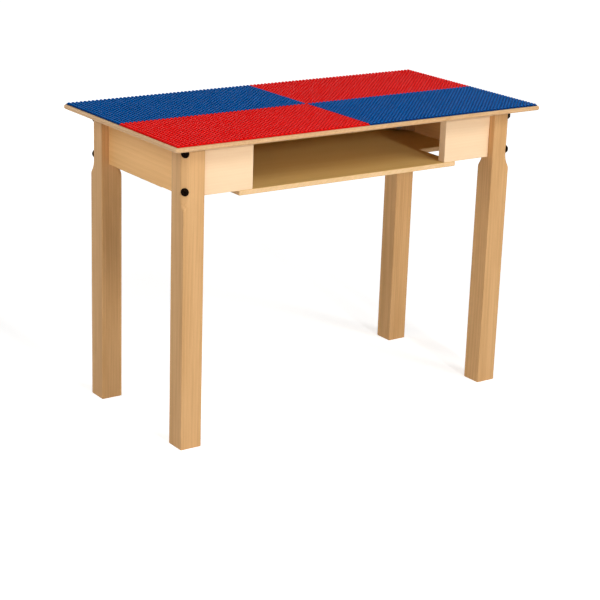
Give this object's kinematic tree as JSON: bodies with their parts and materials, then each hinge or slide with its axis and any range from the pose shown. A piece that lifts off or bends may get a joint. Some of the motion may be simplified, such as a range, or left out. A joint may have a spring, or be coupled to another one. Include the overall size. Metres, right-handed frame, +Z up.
{
  "type": "kids table with storage",
  "caption": "Child's play table with a studded brick top, bolted square legs and an open storage shelf below the top.",
  "frame": {"origin": "on the floor, below the middle of the table", "axes": "+X along the front edge to the right as seen from the front, +Y from the front to the back, +Z up"},
  "size_m": [0.776, 0.392, 0.5435],
  "materials": {
    "tabletop_ply": "birch plywood with a clear satin lacquer, face veneers paler than the core at the edge",
    "red_plastic": "moulded red plastic, semi-gloss",
    "blue_plastic": "moulded blue plastic, semi-gloss",
    "leg_maple": "solid maple with upright grain and a clear satin lacquer",
    "apron_maple": "solid maple with grain along its length and a clear satin lacquer",
    "front_panel_maple": "pale maple with fine grain and a clear satin lacquer",
    "shelf_ply": "thin maple plywood with a clear satin lacquer",
    "block_wood": "planed hardwood, unfinished",
    "black_steel": "black oxide steel, semi-gloss",
    "zinc_steel": "zinc plated steel"
  },
  "bodies": {
    "root": {"tabletop": "tabletop_ply", "brick_plate_front_left": "red_plastic", "brick_plate_front_right": "blue_plastic", "brick_plate_back_left": "blue_plastic", "brick_plate_back_right": "red_plastic", "leg_front_left": "leg_maple", "leg_front_right": "leg_maple", "leg_back_left": "leg_maple", "leg_back_right": "leg_maple", "end_apron_left": "apron_maple", "end_apron_right": "apron_maple", "back_apron": "apron_maple", "front_panel_left": "front_panel_maple", "front_panel_right": "front_panel_maple", "storage_shelf": "shelf_ply", "corner_block_front_left": "block_wood", "corner_block_front_right": "block_wood", "corner_block_back_left": "block_wood", "corner_block_back_right": "block_wood", "top_cleat_left": "block_wood", "top_cleat_right": "block_wood", "top_cleat_back": "block_wood", "top_cleat_front_left": "block_wood", "top_cleat_front_right": "block_wood", "leg_bolts": "black_steel", "leg_bolt_washers": "zinc_steel", "leg_bolt_nuts": "zinc_steel", "block_screws": "zinc_steel", "cleat_screws": "zinc_steel", "top_screws": "zinc_steel", "shelf_screws": "zinc_steel"}
  },
  "joints": []
}
